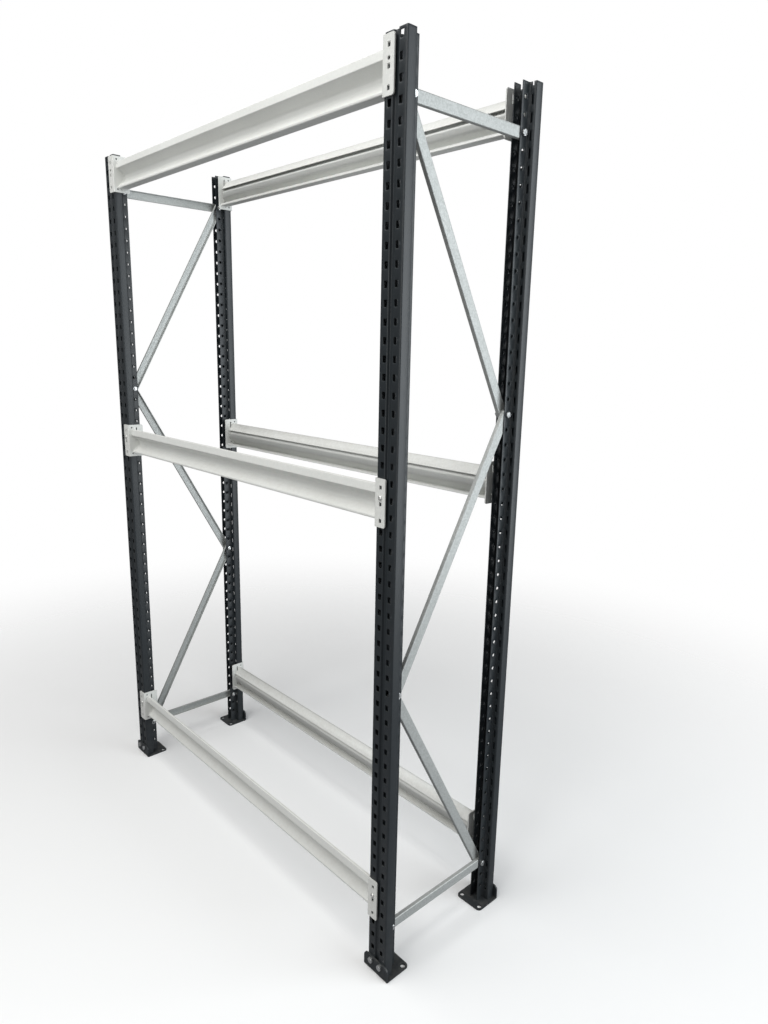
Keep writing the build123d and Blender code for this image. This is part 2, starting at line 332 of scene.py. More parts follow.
def glossAndGrain(tree, shader, look, gloss, dust, height):
    # the coat's own gloss, duller under dust, and its fine relief
    rough = mathNode(tree, "MULTIPLY_ADD", gloss, look["glossChange"], look["roughness"])
    rough = mathNode(tree, "MULTIPLY_ADD", dust, look["dustDulls"], rough, clamp=True)
    tree.links.new(rough, shader.inputs["Roughness"])
    bump = addNode(tree, "ShaderNodeBump", {
        "Height": height, "Strength": look["relief"], "Distance": look["reliefHeight"]})
    tree.links.new(bump.outputs[0], shader.inputs["Normal"])


def powderCoat(name, look):
    material, tree, shader = newMaterial(name)
    peel = useGroup(tree, powderGroup, {
        "Peel Scale": look["peelScale"], "Patch Scale": look["patchScale"], "Speck": look["speck"]})
    colour = colourMix(tree, peel["Patch"], look["colour"], look["patchColour"])
    colour, dust = wornAndDusty(tree, colour, look)
    tree.links.new(colour, shader.inputs["Base Color"])
    glossAndGrain(tree, shader, look, peel["Patch"], dust, peel["Height"])
    shader.inputs["Specular IOR Level"].default_value = look["specular"]
    return material


def zincCoat(name, look):
    material, tree, shader = newMaterial(name)
    spangle = useGroup(tree, spangleGroup, {
        "Crystal Scale": look["crystalScale"], "Speckle Scale": look["speckleScale"]})
    colour = colourMix(tree, spangle["Tone"], look["darkColour"], look["lightColour"])
    colour, dust = wornAndDusty(tree, colour, dict(look, edgeColour=look["lightColour"]))
    tree.links.new(colour, shader.inputs["Base Color"])
    glossAndGrain(tree, shader, look, spangle["Gloss"], dust, spangle["Height"])
    metal = mathNode(tree, "MULTIPLY_ADD", dust, -look["dustCovers"], look["metallic"], clamp=True)
    tree.links.new(metal, shader.inputs["Metallic"])
    return material


anthraciteLook = {
    "colour": (0.0085, 0.0125, 0.0155), "patchColour": (0.0135, 0.0185, 0.0225),
    "edgeColour": (0.06, 0.068, 0.074), "scuffColour": (0.022, 0.027, 0.031),
    "dustColour": (0.09, 0.088, 0.082),
    "peelScale": 650.0, "patchScale": 7.0, "speck": 0.8, "relief": 0.45, "reliefHeight": 0.0002,
    "roughness": 0.34, "glossChange": 0.16, "specular": 0.5,
    "dust": 0.55, "dustDulls": 0.35, "floorReach": 0.45, "edgeWear": 0.60, "scuffs": 0.55}
greyLook = {
    "colour": (0.62, 0.63, 0.605), "patchColour": (0.72, 0.73, 0.71),
    "edgeColour": (0.80, 0.80, 0.78), "scuffColour": (0.50, 0.50, 0.48),
    "dustColour": (0.52, 0.50, 0.46),
    "peelScale": 650.0, "patchScale": 5.0, "speck": 0.7, "relief": 0.45, "reliefHeight": 0.0002,
    "roughness": 0.34, "glossChange": 0.16, "specular": 0.5,
    "dust": 0.45, "dustDulls": 0.35, "floorReach": 0.35, "edgeWear": 0.45, "scuffs": 0.45}
galvanisedLook = {
    "darkColour": (0.33, 0.345, 0.335), "lightColour": (0.47, 0.485, 0.475),
    "scuffColour": (0.26, 0.27, 0.265), "dustColour": (0.42, 0.40, 0.37),
    "crystalScale": 330.0, "speckleScale": 1200.0, "relief": 0.22, "reliefHeight": 0.0001,
    "roughness": 0.36, "glossChange": 0.14, "metallic": 0.30,
    "dust": 0.30, "dustDulls": 0.3, "dustCovers": 0.6, "floorReach": 0.30, "edgeWear": 0.5, "scuffs": 0.30}
zincLook = {
    "darkColour": (0.50, 0.51, 0.50), "lightColour": (0.74, 0.75, 0.76),
    "scuffColour": (0.36, 0.36, 0.35), "dustColour": (0.40, 0.38, 0.35),
    "crystalScale": 420.0, "speckleScale": 1500.0, "relief": 0.15, "reliefHeight": 0.0001,
    "roughness": 0.24, "glossChange": 0.16, "metallic": 0.95,
    "dust": 0.25, "dustDulls": 0.3, "dustCovers": 0.6, "floorReach": 0.20, "edgeWear": 0.6, "scuffs": 0.25}
pinLook = dict(zincLook, darkColour=(0.62, 0.62, 0.60), lightColour=(0.80, 0.80, 0.79), roughness=0.30)

anthracite = powderCoat("anthracitePowderCoat", anthraciteLook)
lightGrey = powderCoat("lightGreyPowderCoat", greyLook)
galvanised = zincCoat("galvanisedSheet", galvanisedLook)
zinc = zincCoat("zincPlate", zincLook)
pinZinc = zincCoat("lockPinZinc", pinLook)
print("finishes made")


# folded sheet: flats and bends of a section, and perforated panels along them

sideSteps = 4               # steps along each side of a punched panel
rimPoints = 4 * sideSteps   # points round its edge, and so round its hole


def sectionRuns(corners, bends):
    # the flats and bends of a folded section, first to last
    runs = []
    here = Vector(corners[0])
    for index, radius in enumerate(bends, 1):
        middle = Vector(corners[index])
        before = (Vector(corners[index - 1]) - middle).normalized()
        after = (Vector(corners[index + 1]) - middle).normalized()
        half = before.angle(after) / 2
        first = middle + before * (radius / math.tan(half))
        last = middle + after * (radius / math.tan(half))
        centre = middle + (before + after).normalized() * (radius / math.sin(half))
        runs.append({"start": here, "end": first})
        runs.append({"start": first, "end": last, "centre": centre})
        here = last
    runs.append({"start": here, "end": Vector(corners[-1])})
    return runs


def runPoint(run, share):
    # a point on a flat or round a bend; share goes from 0 to 1
    if "centre" not in run:
        return run["start"].lerp(run["end"], share)
    first = run["start"] - run["centre"]
    last = run["end"] - run["centre"]
    turn = first.angle_signed(last) * share
    return run["centre"] + Matrix.Rotation(-turn, 2) @ first


def roundHole(diameter):
    # starts at the lower left and goes round against the clock, as a panel's edge does
    angles = [math.radians(-135 + 360 / rimPoints * i) for i in range(rimPoints)]
    return [(diameter / 2 * math.cos(a), diameter / 2 * math.sin(a)) for a in angles]


def slotHole(topWidth, bottomWidth, height, radius):
    # four points a corner: on its arc, at the arc's end, half way along the side, at the next arc
    corners = [Vector(c) for c in ((-bottomWidth / 2, -height / 2), (bottomWidth / 2, -height / 2),
                                   (topWidth / 2, height / 2), (-topWidth / 2, height / 2))]
    points = []
    for index, here in enumerate(corners):
        ahead = corners[(index + 1) % 4]
        toAhead = (ahead - here).normalized()
        toBehind = (corners[index - 1] - here).normalized()
        points.append(here + (toAhead + toBehind) * radius * (1 - math.sqrt(0.5)))
        points.append(here + toAhead * radius)
        points.append((here + ahead) / 2)
        points.append(ahead - toAhead * radius)
    return [(p[0], p[1]) for p in points]


def perforatedSheet(runs, zLines, holes, divided, bendSteps=3):
    # a sheet along the runs, with a hole in each flat that holes names; the divided flats
    # keep their steps, so that pieces above each other share their points
    mesh = bmesh.new()

    def corner(run, share, z):
        point = runPoint(run, share)
        return mesh.verts.new((point.x, point.y, z))

    for index, run in enumerate(runs):
        hole = holes.get(index)
        if hole is None:
            steps = bendSteps if "centre" in run else (sideSteps if index in divided else 1)
            grid = [[corner(run, i / steps, z) for z in zLines] for i in range(steps + 1)]
            for left, right in zip(grid, grid[1:]):
                for j in range(len(zLines) - 1):
                    mesh.faces.new((left[j], right[j], right[j + 1], left[j + 1]))
            continue
        length = (run["end"] - run["start"]).length
        at = hole["at"] / length
        rim = [corner(run, at + x / length, hole["z"] + y) for x, y in hole["outline"]]
        low, high = zLines[0], zLines[-1]
        shares = [i / sideSteps for i in range(sideSteps)]
        border = [(share, low) for share in shares] + [(1.0, z) for z in zLines[:-1]]
        border += [(1 - share, high) for share in shares] + [(0.0, z) for z in reversed(zLines[1:])]
        edge = [corner(run, share, z) for share, z in border]
        for i in range(rimPoints):
            ahead = (i + 1) % rimPoints
            mesh.faces.new((edge[i], edge[ahead], rim[ahead], rim[i]))
    bmesh.ops.remove_doubles(mesh, verts=mesh.verts, dist=samePoint)
    made = bpy.data.meshes.new("sheet")
    mesh.to_mesh(made)
    mesh.free()
    return made


# uprights: half the section is given, from a leg's end to the middle of the groove

uprightLook = {
    "sheet": 0.002, "edgeRound": 0.0004, "boxDepth": 0.024, "legGap": 0.012,
    "grooveHalf": 0.007, "grooveFloorHalf": 0.0045, "grooveDepth": 0.005,
    "bend": 0.003, "mouthBend": 0.0024, "floorBend": 0.0012,
    "slotColumn": 0.015, "slotTop": 0.0105, "slotBottom": 0.0086, "slotHeight": 0.014, "slotCorner": 0.0018,
    "shoulderColumn": 0.021, "shoulderWidth": 0.0045, "shoulderHeight": 0.020, "shoulderDrop": 0.005,
    "shoulderCorner": 0.0008, "legHoleDepth": 0.035, "legHole": 0.0084,
    "cutBelowSlot": 0.00975}        # where one pitch ends and the next begins
legRun, shoulderRun, webRun = 0, 2, 6       # punched flats of the left half, in the section's runs


def uprightCorners(look):
    width = (uprightHigh.x - uprightLow.x) / 2
    depth = uprightHigh.y - uprightLow.y
    half = [(-look["legGap"], depth), (-look["legGap"], look["boxDepth"]), (-width, look["boxDepth"]),
            (-width, 0.0), (-look["grooveHalf"], 0.0), (-look["grooveFloorHalf"], look["grooveDepth"])]
    corners = half + [(-u, v) for u, v in reversed(half)]
    bends = [look["bend"]] * 3 + [look["mouthBend"], look["floorBend"]]
    return corners, bends + bends[::-1]


def quarterLines(low, high):
    return [low + (high - low) * i / sideSteps for i in range(sideSteps + 1)]


def uprightHoles(look, runs, slotZ, withLegs=True):
    # holes of one pitch, by the run that each is punched in
    depth = uprightHigh.y - uprightLow.y
    between = slotZ + slotPitch / 2
    slotOutline = slotHole(look["slotTop"], look["slotBottom"], look["slotHeight"], look["slotCorner"])
    punched = [(webRun, look["slotColumn"], slotOutline, slotZ)]
    if withLegs:
        shoulderOutline = slotHole(look["shoulderWidth"], look["shoulderWidth"], look["shoulderHeight"],
                                   look["shoulderCorner"])
        punched += [(shoulderRun, look["shoulderColumn"], shoulderOutline, between - look["shoulderDrop"]),
                    (legRun, depth - look["legHoleDepth"], roundHole(look["legHole"]), between)]
    lastRun = len(runs) - 1
    holes = {}
    for index, column, outline, z in punched:
        run = runs[index]
        length = (run["end"] - run["start"]).length
        near = column if index == legRun else abs(-column - run["start"].x)
        holes[index] = {"at": near, "z": z, "outline": outline}
        holes[lastRun - index] = {"at": length - near, "z": z, "outline": outline}
    return holes


def notchShoulders(mesh, look, notchLow):
    # the topmost shoulder slots are cut open at the upright's end
    sheet = bmesh.new()
    sheet.from_mesh(mesh)
    half = look["shoulderWidth"] / 2

    def upperShoulders():
        centres = [(f, f.calc_center_median()) for f in sheet.faces]
        return [(f, c) for f, c in centres if abs(c.y - look["boxDepth"]) < samePlane and c.z > notchLow]

    for side in (-1, 1):
        for x in (side * look["shoulderColumn"] - half, side * look["shoulderColumn"] + half):
            region = [f for f, _ in upperShoulders()]
            parts = set(region)
            parts |= {e for f in region for e in f.edges}
            parts |= {v for f in region for v in f.verts}
            bmesh.ops.bisect_plane(sheet, geom=list(parts), plane_co=(x, 0, 0), plane_no=(1, 0, 0))
    gone = [f for f, centre in upperShoulders() if abs(abs(centre.x) - look["shoulderColumn"]) < half]
    bmesh.ops.delete(sheet, geom=gone, context="FACES")
    sheet.to_mesh(mesh)
    sheet.free()


def perforatedUprightTree(material):
    # one pitch repeated up the post, between a plain foot and the top end
    tree, given = nodeTree("perforatedUpright", [
        ("Pitch Piece", "Object", None), ("Top Piece", "Object", None), ("Foot Piece", "Object", None),
        ("Pitch", "Float", slotPitch), ("Count", "Int", 10), ("Lowest", "Float", 0.0),
        ("Join Distance", "Float", 2e-5)])
    origin = addNode(tree, "ShaderNodeCombineXYZ", {"Z": given["Lowest"]})
    step = addNode(tree, "ShaderNodeCombineXYZ", {"Z": given["Pitch"]})
    line = addNode(tree, "GeometryNodeMeshLine", {
        "Count": given["Count"], "Start Location": origin.outputs[0], "Offset": step.outputs[0]})
    piece = addNode(tree, "GeometryNodeObjectInfo", {"Object": given["Pitch Piece"]})
    copies = addNode(tree, "GeometryNodeInstanceOnPoints", {
        "Points": line.outputs[0], "Instance": piece.outputs["Geometry"]})
    real = addNode(tree, "GeometryNodeRealizeInstances", {"Geometry": copies.outputs[0]})
    join = tree.nodes.new("GeometryNodeJoinGeometry")
    for socket in ("Foot Piece", "Top Piece"):
        info = addNode(tree, "GeometryNodeObjectInfo", {"Object": given[socket]})
        tree.links.new(info.outputs["Geometry"], join.inputs[0])
    tree.links.new(real.outputs[0], join.inputs[0])
    merged = addNode(tree, "GeometryNodeMergeByDistance", {
        "Geometry": join.outputs[0], "Distance": given["Join Distance"]})
    return finishTree(tree, merged.outputs[0], material)


def buildUprights(look):
    runs = sectionRuns(*uprightCorners(look))
    cut = look["cutBelowSlot"]
    topSlot = uprightHigh.z - topSlotDrop
    slots = int((topSlot - uprightLow.z - cut) / slotPitch) + 1
    lowest = topSlot - slotPitch * (slots - 1)
    pitchHoles = uprightHoles(look, runs, 0.0)
    pitchMesh = perforatedSheet(runs, quarterLines(-cut, slotPitch - cut), pitchHoles, pitchHoles)
    topLow = topSlot - cut
    notchLow = topSlot + slotPitch / 2 - look["shoulderDrop"] - look["shoulderHeight"] / 2
    topLines = [topLow, (topLow + notchLow) / 2, notchLow, (notchLow + uprightHigh.z) / 2, uprightHigh.z]
    topMesh = perforatedSheet(runs, topLines, uprightHoles(look, runs, topSlot, withLegs=False), pitchHoles)
    notchShoulders(topMesh, look, notchLow)
    footMesh = perforatedSheet(runs, quarterLines(uprightLow.z, lowest - cut), {}, pitchHoles)
    parts = {"Pitch Piece": link(pitchMesh, "pitchPiece"), "Top Piece": link(topMesh, "topPiece"),
             "Foot Piece": link(footMesh, "footPiece")}
    host = runTree(perforatedUprightTree(anthracite), emptyHost("uprightSheet"),
                   dict(parts, Pitch=slotPitch, Count=slots - 1, Lowest=lowest))
    thicken(host, look["sheet"])
    softenEdges(host, look["edgeRound"])
    upright = bake(host, "uprightFrontRight")
    for part in parts.values():
        bpy.data.objects.remove(part)
    upright.data.transform(Matrix.Translation((uprightMiddleX, webY, 0)))
    smooth(upright.data, degrees=40)
    for depth, width in cornerNames:
        piece = upright
        if (depth, width) != ("front", "right"):
            name = f"upright{depth.title()}{width.title()}"
            piece = link(mirrored(upright.data, name, width == "left", depth == "back"), name)
        place(piece, rackBody, "anthracite_powder_coat", f"upright_{depth}_{width}")


buildUprights(uprightLook)
print("uprights made")


# beams and the weld seams at their ends

beamLook = {
    "sheet": 0.0015, "edgeRound": 0.0003, "bendSteps": 6,
    # depth from the connector's front, drop from the ridge, bend radius
    "profile": [(0.037, 0.023, 0.0), (0.020, 0.0, 0.0025), (0.014, 0.0, 0.0025), (0.011, 0.019, 0.0025),
                (0.035, 0.034, 0.007), (0.035, 0.050, 0.012), (0.014, 0.070, 0.004), (0.014, 0.076, 0.0025),
                (0.042, 0.076, 0.0025), (0.042, 0.069, 0.0)],
    "skin": 0.001,          # faces this near the top are the ridge
    "seamRadius": 0.0016, "seamRipple": 0.0005, "seamStep": 0.0016, "seamInset": 0.0004}


def bentLine(tree, given):
    # the profile's line with each corner rounded to its own radius
    line = addNode(tree, "GeometryNodeObjectInfo", {"Object": given["Profile"]})
    curve = addNode(tree, "GeometryNodeMeshToCurve", {"Mesh": line.outputs["Geometry"]})
    bend = addNode(tree, "GeometryNodeInputNamedAttribute", {"Name": "bend"}, data_type="FLOAT")
    rounded = addNode(tree, "GeometryNodeFilletCurve", {
        "Curve": curve.outputs[0], "Radius": bend.outputs[0], "Count": given["Bend Steps"]}, mode="POLY")
    return rounded.outputs[0]


def rolledSheetTree():
    tree, given = nodeTree("rolledBeam", [
        ("Profile", "Object", None), ("Length", "Float", 1.0), ("Bend Steps", "Int", 6),
        ("Finish", "Material", None)])
    edges = addNode(tree, "GeometryNodeCurveToMesh", {"Curve": bentLine(tree, given)})
    along = addNode(tree, "ShaderNodeCombineXYZ", {"X": given["Length"]})
    sheet = addNode(tree, "GeometryNodeExtrudeMesh", {
        "Mesh": edges.outputs[0], "Offset": along.outputs[0], "Offset Scale": 1.0}, mode="EDGES")
    return finishTree(tree, sheet.outputs[0], given["Finish"])


def weldSeamTree():
    # a bead whose radius ripples along it, partly at random
    tree, given = nodeTree("weldSeam", [
        ("Profile", "Object", None), ("Bend Steps", "Int", 4), ("Step", "Float", 0.0016),
        ("Radius", "Float", 0.0016), ("Ripple", "Float", 0.0005), ("Ripple Turn", "Float", 1.9),
        ("Finish", "Material", None)])
    even = addNode(tree, "GeometryNodeResampleCurve", {
        "Curve": bentLine(tree, given), "Length": given["Step"]}, mode="LENGTH")
    index = tree.nodes.new("GeometryNodeInputIndex")
    wave = mathNode(tree, "SINE", mathNode(tree, "MULTIPLY", index.outputs[0], given["Ripple Turn"]))
    chance = addNode(tree, "FunctionNodeRandomValue", {"Seed": 7}, data_type="FLOAT")
    swell = mathNode(tree, "ADD", wave, chance.outputs[1])
    radius = mathNode(tree, "MULTIPLY_ADD", swell, given["Ripple"], given["Radius"])
    ring = addNode(tree, "GeometryNodeCurvePrimitiveCircle", {"Resolution": 8, "Radius": 1.0})
    tube = addNode(tree, "GeometryNodeCurveToMesh", {
        "Curve": even.outputs[0], "Profile Curve": ring.outputs[0], "Scale": radius, "Fill Caps": True})
    return finishTree(tree, tube.outputs[0], given["Finish"])


def profileLine(points, name):
    # a line of corner points, each with the radius that it is bent to
    mesh = bpy.data.meshes.new(name)
    mesh.from_pydata([p[:3] for p in points], [(i, i + 1) for i in range(len(points) - 1)], [])
    bend = mesh.attributes.new("bend", "FLOAT", "POINT")
    bend.data.foreach_set("value", [p[3] for p in points])
    return link(mesh, name)


def turnOutwards(mesh, ridgeLow):
    # the ridge has to look up
    ridge = max((f for f in mesh.polygons if f.center.z > ridgeLow), key=lambda f: abs(f.normal.z))
    if ridge.normal.z < 0:
        mesh.flip_normals()


def bothEnds(mesh):
    # adds the same seam at the beam's other end
    both = bmesh.new()
    both.from_mesh(mesh)
    both.from_mesh(mirrored(mesh, "otherEnd", True, False))
    both.to_mesh(mesh)
    both.free()


def buildBeams(look):
    sheetTree = rolledSheetTree()
    seamTree = weldSeamTree()
    inset = look["seamInset"]
    for level in levelNames:
        low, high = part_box(f"beam_{level}_front")
        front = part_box(f"connector_{level}_front_right")[0].y
        outline = [(low.x, front + depth, high.z - drop, bend) for depth, drop, bend in look["profile"]]
        line = profileLine(outline, "beamProfile")
        sheet = bake(runTree(sheetTree, emptyHost("beamSheet"), {
            "Profile": line, "Length": high.x - low.x, "Bend Steps": look["bendSteps"],
            "Finish": lightGrey}), "beamSheet")
        turnOutwards(sheet.data, high.z - look["skin"])
        smooth(sheet.data, degrees=60)
        thicken(sheet, look["sheet"])
        softenEdges(sheet, look["edgeRound"], segments=1)
        beam = bake(sheet, f"beam{level.title()}Front")
        # the seam leaves out the two lips
        seamLine = profileLine([(low.x + inset, front + depth - inset, high.z - drop, bend)
                                for depth, drop, bend in look["profile"][2:-1]], "seamProfile")
        seam = bake(runTree(seamTree, emptyHost("seam"), {
            "Profile": seamLine, "Step": look["seamStep"], "Radius": look["seamRadius"],
            "Ripple": look["seamRipple"], "Finish": lightGrey}), f"weldSeam{level.title()}Front")
        bpy.data.objects.remove(line)
        bpy.data.objects.remove(seamLine)
        bothEnds(seam.data)
        smooth(seam.data, degrees=80)
        paint(seam, lightGrey)
        for depth in ("front", "back"):
            body = rackBody if level != "top" else f"top_beam_{depth}"
            piece, bead = beam, seam
            if depth == "back":
                name, seamName = f"beam{level.title()}Back", f"weldSeam{level.title()}Back"
                piece = link(mirrored(beam.data, name, False, True), name)
                bead = link(mirrored(seam.data, seamName, False, True), seamName)
            place(piece, body, "light_grey_powder_coat", f"beam_{level}_{depth}")
            place(bead, body, "light_grey_powder_coat")


buildBeams(beamLook)
print("beams made")


# plates, braces and sleeves: merged copies of the frame's own pieces with softened edges

copyLook = {
    "mergeDistance": 2e-6, "flatDegrees": 0.5,
    # start of the nodes' names: edge radius, finish and its slot
    "kinds": {"foot_plate": (0.0006, anthracite, "anthracite_powder_coat"),
              "connector": (0.0005, lightGrey, "light_grey_powder_coat"),
              "brace_right": (0.0003, galvanised, "galvanised_sheet"),
              "brace_left": (0.0003, galvanised, "galvanised_sheet"),
              "brace_sleeves": (0.0004, zinc, "zinc_fastener")}}


def softCopy(node, look, edgeRound):
    name = pieceName(node)
    sheet = bmesh.new()
    sheet.from_mesh(frame["nodes"][node].data)
    bmesh.ops.remove_doubles(sheet, verts=sheet.verts, dist=look["mergeDistance"])
    bmesh.ops.dissolve_limit(sheet, angle_limit=math.radians(look["flatDegrees"]), verts=sheet.verts,
                             edges=sheet.edges)
    mesh = bpy.data.meshes.new(name)
    sheet.to_mesh(mesh)
    sheet.free()
    smooth(mesh, degrees=40)
    host = link(mesh, name + "Plain")
    softenEdges(host, edgeRound, degrees=40)
    return bake(host, name)


def buildCopies(look):
    for node, cadObject in sorted(frame["nodes"].items()):
        kind = next((k for k in look["kinds"] if node.startswith(k)), None)
        if kind is None:
            continue
        edgeRound, material, slotName = look["kinds"][kind]
        piece = softCopy(node, look, edgeRound)
        paint(piece, material)
        place(piece, cadObject["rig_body"], slotName, node)


buildCopies(copyLook)
print("plates and braces made")


# turned parts: rings from one end to the other, joined into a skin

poleRadius = 0.00001        # a ring this small ends a turned part
turnedMerge = 1e-7


def hexRadius(angle, apothem):
    return apothem / math.cos((angle + math.pi / 6) % (math.pi / 3) - math.pi / 6)


def circle(radius, height):
    return lambda angle: (radius, height)


def hexRing(apothem, height, chamferFrom=None):
    # a hexagonal ring; its points fall away below a turned chamfer of 30 degrees
    def ring(angle):
        radius = hexRadius(angle, apothem)
        drop = max(0.0, radius - chamferFrom) * math.tan(math.radians(30)) if chamferFrom else 0.0
        return radius, height - drop
    return ring


def lathe(rings, steps, name):
    # each ring gives radius and height at an angle
    mesh = bmesh.new()
    loops = []
    for ring in rings:
        loop = []
        for i in range(steps):
            angle = 2 * math.pi * i / steps
            radius, height = ring(angle)
            loop.append(mesh.verts.new((radius * math.cos(angle), radius * math.sin(angle), height)))
        loops.append(loop)
    for lower, upper in zip(loops, loops[1:]):
        for i in range(steps):
            ahead = (i + 1) % steps
            mesh.faces.new((lower[i], lower[ahead], upper[ahead], upper[i]))
    made = bpy.data.meshes.new(name)
    bmesh.ops.remove_doubles(mesh, verts=mesh.verts, dist=turnedMerge)
    bmesh.ops.recalc_face_normals(mesh, faces=mesh.faces)
    mesh.to_mesh(made)
    mesh.free()
    smooth(made, degrees=32)
    return made


# bolts and nuts: one detailed piece of each, placed by a tree

fastenerLook = {
    "acrossFlats": 0.013, "headHeight": 0.0053, "nutHeight": 0.0065, "shank": 0.008, "footShank": 0.016,
    "threadPitch": 0.00125, "threadDepth": 0.0006, "threadFrom": 0.0012, "threadTo": 0.012,
    "tipInset": 0.001, "tipEdge": 0.0003, "tipRise": 0.0008,
    "washerRadius": 0.0062, "washerHeight": 0.0004, "hexInset": 0.0001, "hexRise": 0.0003,
    "turnedShare": 0.95, "hollowShare": 0.55, "hollowDepth": 0.0002,
    "nutRise": 0.0005, "boreClear": 0.00002, "boreChamfer": 0.0006,
    "steps": 48, "turn": 0.5}


def threadRings(look, bottom, top):
    count = max(1, int((top - bottom) / (look["threadPitch"] / 2)))
    rings = []
    for i in range(count):
        radius = look["shank"] / 2 - (look["threadDepth"] if i % 2 else 0.0)
        rings.append(circle(radius, top - (top - bottom) * i / count))
    return rings


def boltMesh(look, shankLength):
    # head along +Z from its seat at the origin, shank along -Z
    apothem, head = look["acrossFlats"] / 2, look["headHeight"]
    shank, washer, washerTop = look["shank"] / 2, look["washerRadius"], look["washerHeight"]
    turned = apothem * look["turnedShare"]
    hollow = head - look["hollowDepth"]
    rings = [circle(poleRadius, -shankLength), circle(shank - look["tipInset"], -shankLength),
             circle(shank - look["tipEdge"], -shankLength + look["tipRise"])]
    rings += reversed(threadRings(look, -shankLength + look["threadFrom"], -shankLength + look["threadTo"]))
    rings += [circle(shank, 0.0), circle(washer, 0.0), circle(washer, washerTop),
              hexRing(apothem - look["hexInset"], washerTop), hexRing(apothem, washerTop + look["hexRise"]),
              hexRing(apothem, head, turned), circle(turned, head),
              circle(turned * look["hollowShare"], hollow), circle(poleRadius, hollow)]
    return lathe(rings, look["steps"], "bolt")


def nutMesh(look):
    # seat at the origin, body along +Z, open bore
    apothem, height, chamfer = look["acrossFlats"] / 2, look["nutHeight"], look["boreChamfer"]
    turned = apothem * look["turnedShare"]
    bore = look["shank"] / 2 + look["boreClear"]
    rings = [circle(bore, 0.0), circle(turned, 0.0), hexRing(apothem, look["nutRise"]),
             hexRing(apothem, height, turned), circle(turned, height), circle(bore + chamfer, height),
             circle(bore, height - chamfer), circle(bore, 0.0)]
    return lathe(rings, look["steps"], "nut")


def fastenerTree():
    # a fastener on each point, its head to where the point faces, turned by chance
    tree, given = nodeTree("placedFasteners", [
        ("Fastener", "Object", None), ("Turn", "Float", 0.4), ("Finish", "Material", None)])
    info = addNode(tree, "GeometryNodeObjectInfo", {"Object": given["Fastener"]})
    facing = addNode(tree, "GeometryNodeInputNamedAttribute", {"Name": "facing"}, data_type="FLOAT_VECTOR")
    aim = addNode(tree, "FunctionNodeAlignRotationToVector", {"Vector": facing.outputs[0]}, axis="Z")
    chance = addNode(tree, "FunctionNodeRandomValue", {"Seed": 3}, data_type="FLOAT")
    angle = mathNode(tree, "MULTIPLY", chance.outputs[1], given["Turn"])
    spin = addNode(tree, "FunctionNodeAxisAngleToRotation", {"Axis": (0.0, 0.0, 1.0), "Angle": angle})
    turned = addNode(tree, "FunctionNodeRotateRotation", {0: aim.outputs[0], 1: spin.outputs[0]},
                     rotation_space="LOCAL")
    copies = addNode(tree, "GeometryNodeInstanceOnPoints", {
        "Points": given["Geometry"], "Instance": info.outputs["Geometry"], "Rotation": turned.outputs[0]})
    return finishTree(tree, copies.outputs[0], given["Finish"])


def placeFasteners(tree, mesh, turn, seats, name, node):
    # seats are place and the direction that the head or nut looks in
    points = bpy.data.meshes.new(name)
    points.from_pydata([seat for seat, _ in seats], [], [])
    facing = points.attributes.new("facing", "FLOAT_VECTOR", "POINT")
    facing.data.foreach_set("vector", [value for _, direction in seats for value in direction])
    fastener = link(mesh, "fastenerSource")
    host = runTree(tree, link(points, name + "Seats"), {"Fastener": fastener, "Turn": turn, "Finish": zinc})
    piece = bake(host, name)
    bpy.data.objects.remove(fastener)
    place(piece, rackBody, "zinc_fastener", node)


def boltCentres(side):
    # depth and height of each bolt of one side frame, from the ends of its braces
    low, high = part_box("brace_right_top_horizontal")
    reach = (high.z - low.z) / 2        # half a brace's width
    centres = []
    for member in ("top_horizontal", "bottom_horizontal",
                   "upper_diagonal", "lower_diagonal", "middle_diagonal"):
        low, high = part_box(f"brace_{side}_{member}")
        middle = (low.z + high.z) / 2
        frontZ, backZ = middle, middle
        if "diagonal" in member:
            frontZ, backZ = high.z - reach, low.z + reach
            if (member == "middle_diagonal") != (side == "left"):
                frontZ, backZ = backZ, frontZ
        for y, z in ((low.y + reach, frontZ), (high.y - reach, backZ)):
            if all(abs(y - a) + abs(z - b) > sameBolt for a, b in centres):
                centres.append((y, z))
    return centres


def buildFasteners(look):
    tree = fastenerTree()
    nut = nutMesh(look)
    legGap = uprightLook["legGap"]
    boltLow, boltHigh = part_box("brace_bolts_right")
    braceBolt = boltMesh(look, boltHigh.x - boltLow.x - look["headHeight"])
    for side, sign in (("right", 1), ("left", -1)):
        centres = boltCentres(side)
        heads = [((sign * (uprightMiddleX + legGap), y, z), (sign, 0, 0)) for y, z in centres]
        backs = [((sign * (uprightMiddleX - legGap), y, z), (-sign, 0, 0)) for y, z in centres]
        title = side.title()
        placeFasteners(tree, braceBolt, look["turn"], heads, f"braceBolts{title}", f"brace_bolts_{side}")
        placeFasteners(tree, nut, look["turn"], backs, f"braceNuts{title}", f"brace_nuts_{side}")
    footLow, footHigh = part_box("foot_bolts")
    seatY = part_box("foot_plate_front_right")[0].y
    height = (footLow.z + footHigh.z) / 2
    heads, backs = [], []
    for depth, width in cornerNames:
        x = uprightMiddleX * (1 if width == "right" else -1)
        outward = -1 if depth == "front" else 1
        for column in (-uprightLook["slotColumn"], uprightLook["slotColumn"]):
            heads.append(((x + column, -outward * seatY, height), (0, outward, 0)))
            backs.append(((x + column, -outward * (webY + uprightLook["sheet"]), height), (0, -outward, 0)))
    footBolt = boltMesh(look, look["footShank"])
    placeFasteners(tree, footBolt, look["turn"], heads, "footBolts", "foot_bolts")
    placeFasteners(tree, nut, look["turn"], backs, "footNuts", "foot_nuts")


buildFasteners(fastenerLook)
print("fasteners made")


# lock pins with a domed head and a dimple in it

